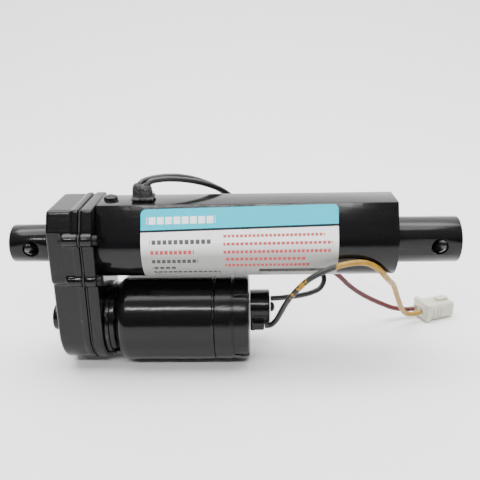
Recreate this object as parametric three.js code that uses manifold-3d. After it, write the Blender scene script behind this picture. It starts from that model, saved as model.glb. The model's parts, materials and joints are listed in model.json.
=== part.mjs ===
// Electric linear actuator: a brushed motor under a screw-driven telescoping tube.
// Millimetres. +X runs along the stroke, -Y is the label side, +Z is up.
// The origin is the centre of the rear pin hole, on the axis of the screw and both tubes.
import * as THREE from 'three';
import { mergeVertices } from 'three/addons/utils/BufferGeometryUtils.js';
import Module from 'manifold-3d';

const wasm = await Module();
wasm.setup();

// ---------- driving dimensions ----------
const GAP = 0.3; // clearance between faces that touch on the real object
const PIN_HOLE = 8.1; // bore of both cross holes, for a 5/16 in pin
const PIN_EDGE = 10.8; // pin hole centre to the end of its tube
const PIN_TO_PIN = 199.6; // retracted length between pin holes
const REAR_R = 9.525; // rear mount tube, 3/4 in across
const ROD_R = 11.4; // extension tube
const ROD_WALL = 2.9;

const HOUSING_X = 12; // left face of the gear housing
const PARTING_X = 27.7; // right face of the left casting
const GASKET = 0.5;
const FLANGE_END = 34.4; // right face of the base casting
const WALL = 2.9;

const COVER_END = 179; // open end of the cover tube
const COVER_R = 17.1; // round lower part of its section
const COVER_BORE = 13.3;
const COVER_TOP_Z = 22.2;
const COVER_TOP_HALF = 8.75;

const PINION_TEETH = 12;
const FIRST_WHEEL_TEETH = 36;
const FIRST_MODULE = 0.8;
const SECOND_PINION_TEETH = 12;
const SCREW_WHEEL_TEETH = 34;
const SECOND_MODULE = 1.0;
const RADIAN = Math.PI / 180; // one degree
const PRESSURE_ANGLE = 25 * RADIAN;
const BACKLASH = 0.16; // thinning of each tooth at the pitch circle

const CLUSTER_Z = -(SECOND_MODULE * (SECOND_PINION_TEETH + SCREW_WHEEL_TEETH)) / 2;
const MOTOR_Z = CLUSTER_Z - (FIRST_MODULE * (PINION_TEETH + FIRST_WHEEL_TEETH)) / 2;

const MOTOR_R = 22.5;
const CAN_X = 39.9; // front of the motor can
const CAN_END = 89.7; // seam between the can and its end cap
const CAP_END = 107.5;
const SHAFT_R = 2.5;
const SCREW_R = 5;
const WIRE_R = 1.4;

// ---------- colours and finishes ----------
const finish = (color, roughness, metalness) =>
  new THREE.MeshStandardMaterial({ color, roughness, metalness });
const BLACK_PAINT = () => finish(0x101011, 0.28, 0.1);
const STEEL = () => finish(0xa9abad, 0.35, 1);
const DARK_STEEL = () => finish(0x4b4c4e, 0.5, 0.9);
const BRASS = () => finish(0xb99a4f, 0.4, 1);
const RUBBER = () => finish(0x1a1a1b, 0.85, 0);
const NYLON = () => finish(0xe2dfd0, 0.55, 0);

// ---------- solids ----------
const ALONG_X = new THREE.Matrix4().makeBasis(
  new THREE.Vector3(0, 1, 0), new THREE.Vector3(0, 0, 1), new THREE.Vector3(1, 0, 0));
const TURN_X = new THREE.Matrix4().makeBasis(
  new THREE.Vector3(0, 0, 1), new THREE.Vector3(1, 0, 0), new THREE.Vector3(0, 1, 0));

function solid(geometry) {
  const bare = geometry.index ? geometry.toNonIndexed() : geometry.clone();
  bare.deleteAttribute('normal');
  bare.deleteAttribute('uv');
  const merged = mergeVertices(bare, 1e-5);
  return new wasm.Manifold(new wasm.Mesh({
    numProp: 3,
    vertProperties: new Float32Array(merged.attributes.position.array),
    triVerts: new Uint32Array(merged.index.array),
  }));
}

function geometryOf(manifold) {
  const mesh = manifold.getMesh();
  const geometry = new THREE.BufferGeometry();
  geometry.setAttribute('position', new THREE.BufferAttribute(mesh.vertProperties, 3));
  geometry.setIndex(new THREE.BufferAttribute(mesh.triVerts, 1));
  geometry.computeVertexNormals();
  return geometry;
}

/** An outline of [y, z] points, carried along X from x0 to x1. */
function prism(points, x0, x1) {
  const shape = new THREE.Shape(points.map(([y, z]) => new THREE.Vector2(y, z)));
  const body = new THREE.ExtrudeGeometry(shape, { depth: x1 - x0, bevelEnabled: false });
  return solid(body.applyMatrix4(ALONG_X).translate(x0, 0, 0));
}

function circle(r, y = 0, z = 0, sides = 32) {
  return Array.from({ length: sides }, (_, i) => {
    const a = (2 * Math.PI * (i + 0.5)) / sides;
    return [y + r * Math.cos(a), z + r * Math.sin(a)];
  });
}

const bar = (r, x0, x1, y = 0, z = 0, sides = 32) => prism(circle(r, y, z, sides), x0, x1);

const ring = (outer, inner, x0, x1, y = 0, z = 0, sides = 32) =>
  bar(outer, x0, x1, y, z, sides).subtract(bar(inner, x0 - 1, x1 + 1, y, z, sides));

/** A profile of [x, radius] points turned about a line along X at height z. */
function turned(profile, z = 0, sides = 40) {
  const points = profile.map(([x, r]) => new THREE.Vector2(r, x));
  return solid(new THREE.LatheGeometry(points, sides).applyMatrix4(TURN_X).translate(0, 0, z));
}

function block(x0, x1, y0, y1, z0, z1) {
  const body = new THREE.BoxGeometry(x1 - x0, y1 - y0, z1 - z0);
  return solid(body.translate((x0 + x1) / 2, (y0 + y1) / 2, (z0 + z1) / 2));
}

/** A cylinder across the object, along Y. */
function crossBar(r, x, z, y0, y1, sides = 32) {
  const body = new THREE.CylinderGeometry(r, r, y1 - y0, sides);
  return solid(body.translate(x, (y0 + y1) / 2, z));
}

/** A cylinder standing along Z. */
function postBar(r, x, y, z0, z1, sides = 24) {
  const body = new THREE.CylinderGeometry(r, r, z1 - z0, sides).rotateX(Math.PI / 2);
  return solid(body.translate(x, y, (z0 + z1) / 2));
}

const object = new THREE.Group();
function add(name, body, material) {
  const mesh = new THREE.Mesh(body.getMesh ? geometryOf(body) : body, material);
  mesh.name = name;
  object.add(mesh);
  return mesh;
}

// ---------- sections ----------
/** Points of an arc from angle a to angle b, in degrees, about (y, z). */
function arc(r, a, b, steps, y = 0, z = 0) {
  return Array.from({ length: steps + 1 }, (_, i) => {
    const t = (a + ((b - a) * i) / steps) * RADIAN;
    return [y + r * Math.cos(t), z + r * Math.sin(t)];
  });
}

/** The cover's section, grown by d: a flat top with sides that flare to a round underside. */
const FLARE_DEG = (() => {
  const far = Math.hypot(COVER_TOP_HALF, COVER_TOP_Z);
  const up = Math.atan2(COVER_TOP_Z, COVER_TOP_HALF);
  return (up - Math.acos(COVER_R / far)) / RADIAN;
})();
function coverSection(d = 0) {
  const round = arc(COVER_R + d, FLARE_DEG, -180 - FLARE_DEG, 28);
  const [half, top] = [COVER_TOP_HALF + d, COVER_TOP_Z + d];
  return [[half, top], ...round, [-half, top]].reverse();
}

const HOUSING_TOP = 21.7;
const HOUSING_FOOT_R = 20.6;
function housingSection(d = 0) {
  const foot = arc(HOUSING_FOOT_R + d, 8, -188, 20, 0, MOTOR_Z);
  const side = [[14.7 + d, HOUSING_TOP + d], [19.4 + d, 12.5], [20.9 + d, -13], [18.9 + d, -14.8]];
  const mirrored = side.map(([y, z]) => [-y, z]).reverse();
  return [...side, ...foot, ...mirrored].reverse();
}

// ---------- gear housing ----------
const SCREW_PLACES = [[19.4, 8.5], [19.2, -12.4], [12.4, MOTOR_Z - 11]];
const EAR_R = 3.2;
const places = SCREW_PLACES.flatMap(([y, z]) => [[-y, z], [y, z]]);
const withEars = (body, x0, x1) =>
  places.reduce((sum, [y, z]) => sum.add(bar(EAR_R, x0, x1, y, z, 16)), body);
const drilled = (body, r, x0, x1) =>
  places.reduce((sum, [y, z]) => sum.subtract(bar(r, x0, x1, y, z, 10)), body);

const SCREW_WHEEL_ROOM = (SECOND_MODULE * SCREW_WHEEL_TEETH) / 2 + 1.5;
const FIRST_WHEEL_ROOM = (FIRST_MODULE * FIRST_WHEEL_TEETH) / 2 + 1.4;
const PINION_ROOM = 7.5;
const AXLE_R = 1.9;

function gearRoom(x0, x1) {
  return bar(SCREW_WHEEL_ROOM, x0, x1, 0, 0, 36)
    .add(bar(FIRST_WHEEL_ROOM, x0, x1, 0, CLUSTER_Z, 36))
    .add(bar(PINION_ROOM, x0, x1, 0, MOTOR_Z, 20));
}

const CAVITY_X = HOUSING_X + WALL;
const EAR_X = 20; // where the screw ears start on the left casting
const SCREW_HOLE_R = 1.8;
const casting = withEars(prism(housingSection(), HOUSING_X, PARTING_X), EAR_X, PARTING_X)
  .subtract(gearRoom(CAVITY_X, PARTING_X + 1))
  .subtract(bar(AXLE_R, HOUSING_X - 1, CAVITY_X + 1, 0, CLUSTER_Z, 16))
  .subtract(bar(SCREW_R + GAP - 1, HOUSING_X + 1, CAVITY_X + 1));
add('gear_housing_cover', drilled(casting, SCREW_HOLE_R, EAR_X - 3, PARTING_X + 1), BLACK_PAINT());

const gasketX = PARTING_X + GAP;
const gasketEnd = gasketX + GASKET;
const gasket = withEars(prism(housingSection(-0.3), gasketX, gasketEnd), gasketX, gasketEnd)
  .subtract(gearRoom(gasketX - 1, gasketX + 2));
add('housing_gasket', drilled(gasket, SCREW_HOLE_R, gasketX - 1, gasketX + 2), RUBBER());

const baseX = gasketX + GASKET + GAP;
const BEARING_SEAT_R = 9.3;
const MOTOR_SEAT_R = 6.3;
const base = withEars(prism(housingSection(0.5), baseX, FLANGE_END), baseX, FLANGE_END)
  .subtract(bar(BEARING_SEAT_R, baseX - 1, FLANGE_END + 1))
  .subtract(bar(MOTOR_SEAT_R, baseX - 1, FLANGE_END + 1, 0, MOTOR_Z))
  .subtract(bar(AXLE_R, baseX - 1, FLANGE_END + 1, 0, CLUSTER_Z, 16));
add('gear_housing_base', drilled(base, SCREW_HOLE_R, baseX - 1, FLANGE_END + 1), BLACK_PAINT());

places.forEach(([y, z], i) => {
  const head = FLANGE_END + GAP;
  const slot = block(head + 1.9, head + 4, y - 0.35, y + 0.35, z - 3, z + 3);
  const screw = turned([[18, 0], [18, 1.4], [head, 1.4], [head, 2.6], [head + 2, 2.6],
    [head + 2.5, 2.1], [head + 2.5, 0]], 0, 12).translate([0, y, z]);
  add(`housing_screw_${i + 1}`, screw.subtract(slot), DARK_STEEL());
});

const AXIS_PLUG = { x0: 4.4, x1: HOUSING_X - GAP, r: 7 };
add('motor_axis_plug', turned([[AXIS_PLUG.x0, 0], [AXIS_PLUG.x0, AXIS_PLUG.r - 0.6],
  [AXIS_PLUG.x0 + 0.6, AXIS_PLUG.r], [AXIS_PLUG.x1, AXIS_PLUG.r], [AXIS_PLUG.x1, 0]], MOTOR_Z, 32),
BLACK_PAINT());

// ---------- rear mount ----------
const rearEnd = HOUSING_X - GAP;
const rearTube = ring(REAR_R, REAR_R - 2.6, -PIN_EDGE, rearEnd, 0, 0, 48)
  .subtract(crossBar(PIN_HOLE / 2, 0, 0, -REAR_R - 1, REAR_R + 1));
add('rear_mount_tube', rearTube, BLACK_PAINT());

// ---------- cover tube and what it holds ----------
const coverX = FLANGE_END + GAP;
const channelTop = COVER_TOP_Z - 2.2;
const channelFloor = COVER_BORE + 1.0;
const coverTube = prism(coverSection(), coverX, COVER_END)
  .subtract(bar(COVER_BORE, coverX - 1, COVER_END + 1, 0, 0, 48))
  .subtract(block(coverX - 1, 168, -5.5, 5.5, channelFloor, channelTop))
  .subtract(block(50, 61, -4.2, 4.2, channelTop - 1, COVER_TOP_Z + 1));
add('cover_tube', coverTube, BLACK_PAINT());

add('cover_top_screw', postBar(3.5, 39.6, 1.6, COVER_TOP_Z + GAP, COVER_TOP_Z + 2.1)
  .subtract(block(39.1, 40.1, -3, 6, COVER_TOP_Z + 1.5, COVER_TOP_Z + 3)), BLACK_PAINT());

const guideX = 160;
const wiperX = COVER_END - 5;
add('front_guide_bush', ring(COVER_BORE - GAP, ROD_R + GAP, guideX, wiperX - GAP), NYLON());
add('rod_wiper', ring(COVER_BORE - GAP, ROD_R + GAP, wiperX, COVER_END - 0.2), RUBBER());

const LABEL = { x0: 55.9, x1: 150.8, gap: 0.12, thick: 0.25, drop: 0.8, under: 58 };
function labelSection() {
  const outer = LABEL.gap + LABEL.thick;
  const edge = (d) => {
    const [y, z] = [COVER_TOP_HALF, COVER_TOP_Z];
    const out = [Math.cos(FLARE_DEG * RADIAN), Math.sin(FLARE_DEG * RADIAN)];
    const down = [out[1], -out[0]];
    return [-(y + out[0] * d + down[0] * LABEL.drop), z + out[1] * d + down[1] * LABEL.drop];
  };
  const under = -180 + LABEL.under;
  const inner = arc(COVER_R + LABEL.gap, -180 - FLARE_DEG, under, 12);
  const back = arc(COVER_R + outer, under, -180 - FLARE_DEG, 12);
  return [edge(LABEL.gap), ...inner, ...back, edge(outer)].reverse();
}
add('rating_label', prism(labelSection(), LABEL.x0, LABEL.x1), finish(0xdcdcdc, 0.5, 0));

// Two limit switches in the channel over the bore, one for each end of the travel.
const SWITCH = { long: 16, half: 3.2, high: 4.6 };
[[64, 'retract'], [146, 'extend']].forEach(([x, end]) => {
  const z0 = channelFloor + GAP;
  const body = block(x, x + SWITCH.long, -SWITCH.half, SWITCH.half, z0, z0 + SWITCH.high);
  add(`${end}_limit_switch`, body.add(block(x + 3, x + 5.2, -1, 1, z0 + 4, z0 + 5.2)), DARK_STEEL());
});

// ---------- screw, wheel and nut ----------
/** Involute spur gear with relieved roots: [y, z] outline about its own axis. */
function gearOutline(teeth, module, turn = 0) {
  const pitch = (teeth * module) / 2;
  const baseR = pitch * Math.cos(PRESSURE_ANGLE);
  const tip = pitch + 0.88 * module;
  const root = pitch - 1.22 * module;
  const involute = (a) => Math.tan(a) - a;
  const halfAtPitch = Math.PI / (2 * teeth) - BACKLASH / 2 / pitch;
  const start = Math.max(baseR, root);
  const flank = [0, 0.45, 1].map((t) => {
    const r = start + (tip - start) * t;
    const lean = involute(Math.acos(Math.min(1, baseR / r)));
    return [r, halfAtPitch + involute(PRESSURE_ANGLE) - lean];
  });
  if (start > root + 0.01) flank.unshift([root, flank[0][1] * 0.92]);
  return Array.from({ length: teeth }, (_, i) => {
    const mid = turn + (2 * Math.PI * i) / teeth;
    const rising = flank.map(([r, a]) => [r, mid - a]);
    const falling = [...flank].reverse().map(([r, a]) => [r, mid + a]);
    return [...rising, ...falling];
  }).flat().map(([r, a]) => [r * Math.cos(a), r * Math.sin(a)]);
}
const wheel = (teeth, module, turn, x0, x1, z) =>
  prism(gearOutline(teeth, module, turn), x0, x1).translate([0, 0, z]);

const UP = Math.PI / 2;
const halfTooth = (teeth) => Math.PI / teeth;
const SCREW_WHEEL_X = [15.9, 20.7];
const FIRST_WHEEL_X = [22, 26.6];

add('screw_wheel', wheel(SCREW_WHEEL_TEETH, SECOND_MODULE, -UP, ...SCREW_WHEEL_X, 0)
  .subtract(bar(4 + GAP, 10, 30)), STEEL());

const SCREW_END = 150;
add('lead_screw', turned([[13.4, 0], [13.4, 4], [27.9, 4], [28.4, SCREW_R], [SCREW_END - 2, SCREW_R],
  [SCREW_END, 4], [SCREW_END, 0]], 0, 32), STEEL());
add('screw_wheel_key', ring(7.2, 4 + GAP, SCREW_WHEEL_X[1] + GAP, FIRST_WHEEL_X[0] + 0.6, 0, 0, 24),
  DARK_STEEL());

add('screw_bearing_outer', ring(BEARING_SEAT_R - GAP, 7.6, baseX, FLANGE_END), STEEL());
add('screw_bearing_inner', ring(7, SCREW_R + GAP, baseX, FLANGE_END), STEEL());

const NUT_X = 50;
const rodX = NUT_X + 8.3;
add('drive_nut', turned([[NUT_X, SCREW_R + GAP], [NUT_X, COVER_BORE - 0.5], [NUT_X + 8, COVER_BORE - 0.5],
  [NUT_X + 8, 8.2], [NUT_X + 16, 8.2], [NUT_X + 16, SCREW_R + GAP], [NUT_X, SCREW_R + GAP]], 0, 40), BRASS());

const rod = ring(ROD_R, ROD_R - ROD_WALL, rodX, PIN_TO_PIN + PIN_EDGE, 0, 0, 48)
  .subtract(crossBar(PIN_HOLE / 2, PIN_TO_PIN, 0, -ROD_R - 1, ROD_R + 1));
add('extension_tube', rod, BLACK_PAINT());

// ---------- first stage ----------
const clusterTurn = UP - halfTooth(SECOND_PINION_TEETH);
const cluster = wheel(SECOND_PINION_TEETH, SECOND_MODULE, clusterTurn, 15.7, 22.2, CLUSTER_Z)
  .add(wheel(FIRST_WHEEL_TEETH, FIRST_MODULE, -UP, ...FIRST_WHEEL_X, CLUSTER_Z))
  .subtract(bar(AXLE_R + 0.1, 10, 30, 0, CLUSTER_Z, 20));
add('cluster_gear', cluster, STEEL());
add('cluster_axle', bar(AXLE_R - GAP, HOUSING_X + 0.4, FLANGE_END - 0.4, 0, CLUSTER_Z, 16), STEEL());

const pinionTurn = UP - halfTooth(PINION_TEETH);
add('motor_pinion', wheel(PINION_TEETH, FIRST_MODULE, pinionTurn, 21.6, 27, MOTOR_Z)
  .subtract(bar(SHAFT_R + GAP - 0.9, 10, 30, 0, MOTOR_Z, 20)), BRASS());

// ---------- motor ----------
const atMotor = (profile, sides) => turned(profile, MOTOR_Z, sides);
const PLATE_X = FLANGE_END + GAP;
const [footY, footZ] = SCREW_PLACES[2];
const PLATE_R = 19.4;
const frontPlate = ring(PLATE_R, MOTOR_SEAT_R, PLATE_X, CAN_X - GAP, 0, MOTOR_Z, 48)
  .subtract(bar(EAR_R, PLATE_X - 1, CAN_X, -footY, footZ, 20))
  .subtract(bar(EAR_R, PLATE_X - 1, CAN_X, footY, footZ, 20));
add('motor_front_plate', frontPlate, BLACK_PAINT());

const CAN_WALL = 1.8;
const corner = arc(6.5, 180, 90, 5, CAN_X + 6.5, MOTOR_R - 6.5);
add('motor_can', atMotor([[CAN_X, 7], ...corner, [CAN_END, MOTOR_R], [CAN_END, MOTOR_R - CAN_WALL],
  [CAN_X + 7, MOTOR_R - CAN_WALL], [CAN_X + 3, 15], [CAN_X + 3, 7], [CAN_X, 7]]), BLACK_PAINT());

const capX = CAN_END + GAP;
let endCap = atMotor([[capX, MOTOR_R - CAN_WALL], [capX, MOTOR_R - 0.1], [CAP_END - 1.4, MOTOR_R - 0.1],
  [CAP_END, MOTOR_R - 1.5], [CAP_END, 0], [CAP_END - 2.6, 0], [CAP_END - 2.6, 6.3],
  [CAP_END - 7, 6.3], [CAP_END - 7, 8.4], [CAP_END - 2.6, 8.4], [CAP_END - 2.6, MOTOR_R - CAN_WALL],
  [capX, MOTOR_R - CAN_WALL]]);
for (const degrees of [35, 126, 215, 306]) {
  const notch = block(100, CAP_END + 1, -1.3, 1.3, MOTOR_R - 1.1, MOTOR_R + 2);
  endCap = endCap.subtract(notch.rotate([degrees, 0, 0]).translate([0, 0, MOTOR_Z]));
}
add('motor_end_cap', endCap, BLACK_PAINT());

const bossX = CAP_END + GAP;
const BOSS_Z = MOTOR_Z + 5;
const BOSS_R = 9.2;
const BOSS_LONG = 10.2;
const boss = turned([[bossX, 0], [bossX, BOSS_R], [bossX + BOSS_LONG - 0.6, BOSS_R],
  [bossX + BOSS_LONG, BOSS_R - 0.6], [bossX + BOSS_LONG, 0]], BOSS_Z, 36)
  .add(block(bossX, bossX + 7.2, -10.8, -5.4, MOTOR_Z - 3.6, MOTOR_Z + 2.4))
  .subtract(block(bossX + 2, bossX + BOSS_LONG + 1, -12, 12, BOSS_Z - BOSS_R - 1, BOSS_Z - BOSS_R + 1.2));
add('motor_lead_boss', boss, BLACK_PAINT());

const capFace = bossX + BOSS_LONG + GAP;
add('boss_cap', turned([[capFace, 0], [capFace, 2.6], [capFace + 1.2, 2.3], [capFace + 2.2, 1.2],
  [capFace + 2.4, 0]], BOSS_Z, 20), BLACK_PAINT());

const MAGNET = { x0: 50, x1: 84, inner: 14.8, outer: 20.3 };
['front', 'rear'].forEach((name, i) => {
  const side = i === 0 ? 180 : 0;
  const outside = arc(MAGNET.outer, side - 62, side + 62, 16);
  const inside = arc(MAGNET.inner, side + 62, side - 62, 16);
  const shell = prism([...outside, ...inside], MAGNET.x0, MAGNET.x1).translate([0, 0, MOTOR_Z]);
  add(`${name}_magnet`, shell, finish(0x2c2c2e, 0.8, 0.2));
});

add('motor_shaft', bar(SHAFT_R - 0.9, 21.2, 28, 0, MOTOR_Z, 24)
  .add(bar(SHAFT_R, 27.6, 103.6, 0, MOTOR_Z, 24)), STEEL());
const slotted = Array.from({ length: 7 }, (_, i) => (i * 360) / 7).reduce((core, turn) => {
  const slot = block(51, 81, -1, 1, 9, 15);
  return core.subtract(slot.rotate([turn, 0, 0]).translate([0, 0, MOTOR_Z]));
}, ring(14, SHAFT_R + GAP, 52, 80, 0, MOTOR_Z, 42));
add('armature_core', slotted, DARK_STEEL());
add('commutator', ring(6.8, SHAFT_R + GAP, 84, 93, 0, MOTOR_Z, 28), finish(0xb0693c, 0.35, 1));
[['front', -1], ['rear', 1]].forEach(([name, side]) => {
  const [near, far] = [side * 7.2, side * 16];
  add(`${name}_brush`, block(86, 91, Math.min(near, far), Math.max(near, far), MOTOR_Z - 2, MOTOR_Z + 2),
    finish(0x2a2a2a, 0.7, 0.1));
});
add('motor_front_bearing', ring(6, SHAFT_R + GAP, PLATE_X + 0.2, CAN_X - 0.6, 0, MOTOR_Z, 32), STEEL());
add('motor_rear_bearing', ring(6, SHAFT_R + GAP, 100.6, 104.4, 0, MOTOR_Z, 32), STEEL());

// ---------- leads ----------
const RELIEF = { x0: 50.6, x1: 61.4, y0: -5.6, y1: 6.6, z0: COVER_TOP_Z + GAP, z1: 26.4 };
const reliefTop = postBar(3.2, 53.4, 0.6, RELIEF.z0, RELIEF.z1 + 0.9, 20)
  .add(postBar(3.4, 57.6, 0.2, RELIEF.z0, RELIEF.z1 + 1.5, 20));
add('strain_relief', block(RELIEF.x0, RELIEF.x1, RELIEF.y0, RELIEF.y1, RELIEF.z0, RELIEF.z1 - 1.6)
  .add(reliefTop), RUBBER());

/** A lead of round section through points chosen by hand. */
function lead(name, points, color) {
  const stations = points.map((p) => new THREE.Vector3(...p));
  const route = new THREE.CatmullRomCurve3(stations, false, 'centripetal');
  const section = new THREE.Shape(circle(WIRE_R, 0, 0, 8).map((p) => new THREE.Vector2(...p)));
  const steps = Math.min(70, Math.ceil(route.getLength() / (3.6 * WIRE_R)));
  const tube = new THREE.ExtrudeGeometry(section, { steps, extrudePath: route, bevelEnabled: false });
  add(name, solid(tube), finish(color, 0.5, 0));
}

// From the motor's end, up in front of the cover, round its lower edge and back to the connector.
const YELLOW_ROUTE = [
  [115.4, -9.6, -43.2], [118, -10, -42.6], [120.6, -11.8, -39.4], [122.8, -14.6, -33.8],
  [125.4, -17.6, -26.8], [128.2, -19.6, -21.4], [131.6, -20.4, -16.9], [136.2, -20.5, -12.4],
  [143, -20.4, -8.4], [150.7, -20.1, -5.4], [157.4, -19.7, -4.2], [163.6, -18.8, -4.8],
  [169.2, -17.9, -8], [174, -14, -14.1], [178, -7, -19.8], [181.2, -1.2, -24.4],
  [184.4, 5, -31.6], [187.6, 11, -39.4], [191.4, 18, -47.8], [195.8, 25.4, -55],
  [200.8, 30.8, -58.8], [206.1, 33.6, -59.2],
];
// From the strain relief, over the rear top edge, down behind the cover and back to the motor's end.
const BLACK_ROUTE = [
  [54.4, 1.8, 29.5], [56, 3.8, 30.6], [60, 6, 31.4], [66, 8.4, 31.6], [72.6, 11.2, 30.8],
  [79.6, 14.4, 28.6], [86.4, 17.6, 25.2], [92.2, 20.6, 21.2], [98, 22.8, 16], [104.6, 24.2, 9.4],
  [114.4, 24.4, 1], [126, 24, -8.6], [138, 23.4, -17.6], [145.6, 21.8, -24.6], [148.2, 18.8, -30],
  [146, 15, -33.6], [140.8, 11, -34.6], [134.4, 6.8, -34.2], [128, 2.6, -32.9], [122.8, -0.6, -31.9],
  [118.8, -2, -31.4],
];
// Beside the black lead over the same edge, then under the cover and back to the connector.
const RED_ROUTE = [
  [58, 0.2, 29.1], [60, 1.5, 30.8], [66, 4.4, 31.2], [73.4, 7.6, 30.2], [80.8, 10.8, 28.2],
  [88.4, 14.2, 25], [94.2, 17.2, 21.4], [99.8, 19.4, 16.2], [107, 20.2, 9], [118, 20, -1.6],
  [133, 19.4, -12.6], [146.4, 19.2, -21.2], [156.4, 20.8, -29.2], [162.4, 23.4, -36], [168.6, 26.4, -42],
  [175.6, 29.4, -47.4], [183.2, 32.4, -52.4], [191, 35.2, -56.8], [198, 37.4, -59], [204.4, 38.5, -59.2],
];
lead('yellow_lead', YELLOW_ROUTE, 0xc8a03c);
lead('black_lead', BLACK_ROUTE, 0x151515);
lead('red_lead', RED_ROUTE, 0x642a2d);

// ---------- two-way connector ----------
const PLUG = { x: 216.6, y: 40.2, long: 21, half: 6.2, low: -64.6, high: -54.6, turn: 20 };
const placed = (body) => body.rotate([0, 0, PLUG.turn]).translate([PLUG.x, PLUG.y, 0]);
const [plugBack, plugFront] = [-PLUG.long / 2, PLUG.long / 2];
const plugBody = block(plugBack, plugFront, -PLUG.half, PLUG.half, PLUG.low, PLUG.high)
  .add(block(plugBack + 1, plugBack + 4, -PLUG.half - 1, PLUG.half + 1, PLUG.low, PLUG.high + 1))
  .add(block(1, 8, -2, 2, PLUG.high - 0.5, PLUG.high + 1.6));
const WAY_Y = 2.7; // half the distance between the two ways
const WAY_Z = -59.2;
const plug = [-WAY_Y, WAY_Y].reduce((body, y) => body
  .subtract(block(plugFront - 9, plugFront + 1, y - 2, y + 2, WAY_Z - 3.8, WAY_Z + 3.4))
  .subtract(bar(1.7, plugBack - 1, plugFront, y, WAY_Z, 16)), plugBody);
add('connector_housing', placed(plug), NYLON());
[['front', -WAY_Y], ['rear', WAY_Y]].forEach(([name, y]) => {
  add(`${name}_terminal`, placed(bar(1.1, plugBack + 1, plugFront - 2.4, y, WAY_Z, 12)), BRASS());
});

export default object;
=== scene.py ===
"""Linear actuator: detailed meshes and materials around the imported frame, with +X along the stroke.

The scene is in metres. Sizes here are in millimetres and become metres as each mesh is made, apart from the
lights, the strain relief's lumps and the stretches of overspray on the leads, which are given in metres.
"""
import json
import math

import bmesh
import bpy
from mathutils import Matrix, Vector


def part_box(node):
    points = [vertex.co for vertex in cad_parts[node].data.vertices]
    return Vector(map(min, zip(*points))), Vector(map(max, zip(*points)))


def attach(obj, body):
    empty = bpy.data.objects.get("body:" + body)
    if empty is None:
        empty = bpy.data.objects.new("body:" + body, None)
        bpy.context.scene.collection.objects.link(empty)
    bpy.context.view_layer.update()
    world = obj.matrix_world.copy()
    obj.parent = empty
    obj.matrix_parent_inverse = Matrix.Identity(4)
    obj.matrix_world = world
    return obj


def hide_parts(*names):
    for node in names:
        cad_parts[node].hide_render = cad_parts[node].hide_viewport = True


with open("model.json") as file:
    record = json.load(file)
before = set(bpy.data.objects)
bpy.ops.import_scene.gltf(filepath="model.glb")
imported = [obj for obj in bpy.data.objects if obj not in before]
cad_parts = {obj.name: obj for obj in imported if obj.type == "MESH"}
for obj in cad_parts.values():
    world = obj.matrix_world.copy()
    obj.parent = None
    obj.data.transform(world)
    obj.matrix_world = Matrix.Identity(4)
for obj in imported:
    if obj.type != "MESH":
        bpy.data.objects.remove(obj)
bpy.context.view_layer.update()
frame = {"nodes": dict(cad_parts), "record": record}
nodes = frame["nodes"]

MM = 0.001
ROUND = 128  # sides of the large round parts

# ---------- places, from the frame ----------


def corner(node):
    """A node's box at rest, in millimetres: (low, high)."""
    low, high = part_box(node)
    return Vector(low) / MM, Vector(high) / MM


REAR_LOW, REAR_HIGH = corner("rear_mount_tube")
ROD_LOW, ROD_HIGH = corner("extension_tube")
CASTING_LOW, CASTING_HIGH = corner("gear_housing_cover")
BASE_LOW, BASE_HIGH = corner("gear_housing_base")
COVER_LOW, COVER_HIGH = corner("cover_tube")
CAN_LOW, CAN_HIGH = corner("motor_can")
CAP_LOW, CAP_HIGH = corner("motor_end_cap")
PLATE_LOW, PLATE_HIGH = corner("motor_front_plate")
BOSS_LOW, BOSS_HIGH = corner("motor_lead_boss")
DOME_LOW, DOME_HIGH = corner("boss_cap")
DISC_LOW, DISC_HIGH = corner("motor_axis_plug")
LABEL_LOW, LABEL_HIGH = corner("rating_label")
RELIEF_LOW, RELIEF_HIGH = corner("strain_relief")

MOTOR_Z = (CAN_LOW.z + CAN_HIGH.z) / 2
MOTOR_R = (CAN_HIGH.z - CAN_LOW.z) / 2
REAR_R, REAR_WALL = 9.525, 2.6
ROD_R, ROD_WALL = 11.4, 2.9
COVER_R = 17.1  # round lower part of the cover's section
COVER_BORE_R = 13.3
COVER_TOP_HALF = 8.75  # half the width of the cover's flat top
PIN_R = 4.05  # cross holes
PIN_EDGE = 10.8  # front cross hole to the end of its tube
SHAFT_HOLE_R = 6.3  # hole for the motor's neck in the base casting and front plate
BOSS_R = 9.2
BOSS_RISE = 5  # the lead boss's axis above the motor's
FLOOR_Z = -64.75
WALL_Y = 620.0

# ---------- camera ----------


CAMERA_AT = Vector((112.7, -276.1, 106.7))
CAMERA_FORWARD = Vector((-0.0321, 0.9328, -0.3591)).normalized()
CAMERA_RIGHT = Vector((0.9994, 0.0263, -0.0211))
SENSOR, LENS = 36, 44.15


def make_camera():
    cam = bpy.data.objects.new("camera", bpy.data.cameras.new("camera"))
    bpy.context.collection.objects.link(cam)
    forward = CAMERA_FORWARD
    right = (CAMERA_RIGHT - forward * CAMERA_RIGHT.dot(forward)).normalized()
    up = right.cross(forward)
    turn = Matrix((right, up, -forward)).transposed().to_4x4()
    cam.matrix_world = Matrix.Translation(CAMERA_AT * MM) @ turn
    cam.data.sensor_width = SENSOR
    cam.data.lens = LENS
    bpy.context.scene.camera = cam


# ---------- mesh tools ----------


def new_object(name, mesh):
    obj = bpy.data.objects.new(name, mesh)
    bpy.context.collection.objects.link(obj)
    return obj


def apply_modifiers(obj):
    graph = bpy.context.evaluated_depsgraph_get()
    mesh = bpy.data.meshes.new_from_object(obj.evaluated_get(graph))
    obj.modifiers.clear()
    obj.data = mesh
    return obj


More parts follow.
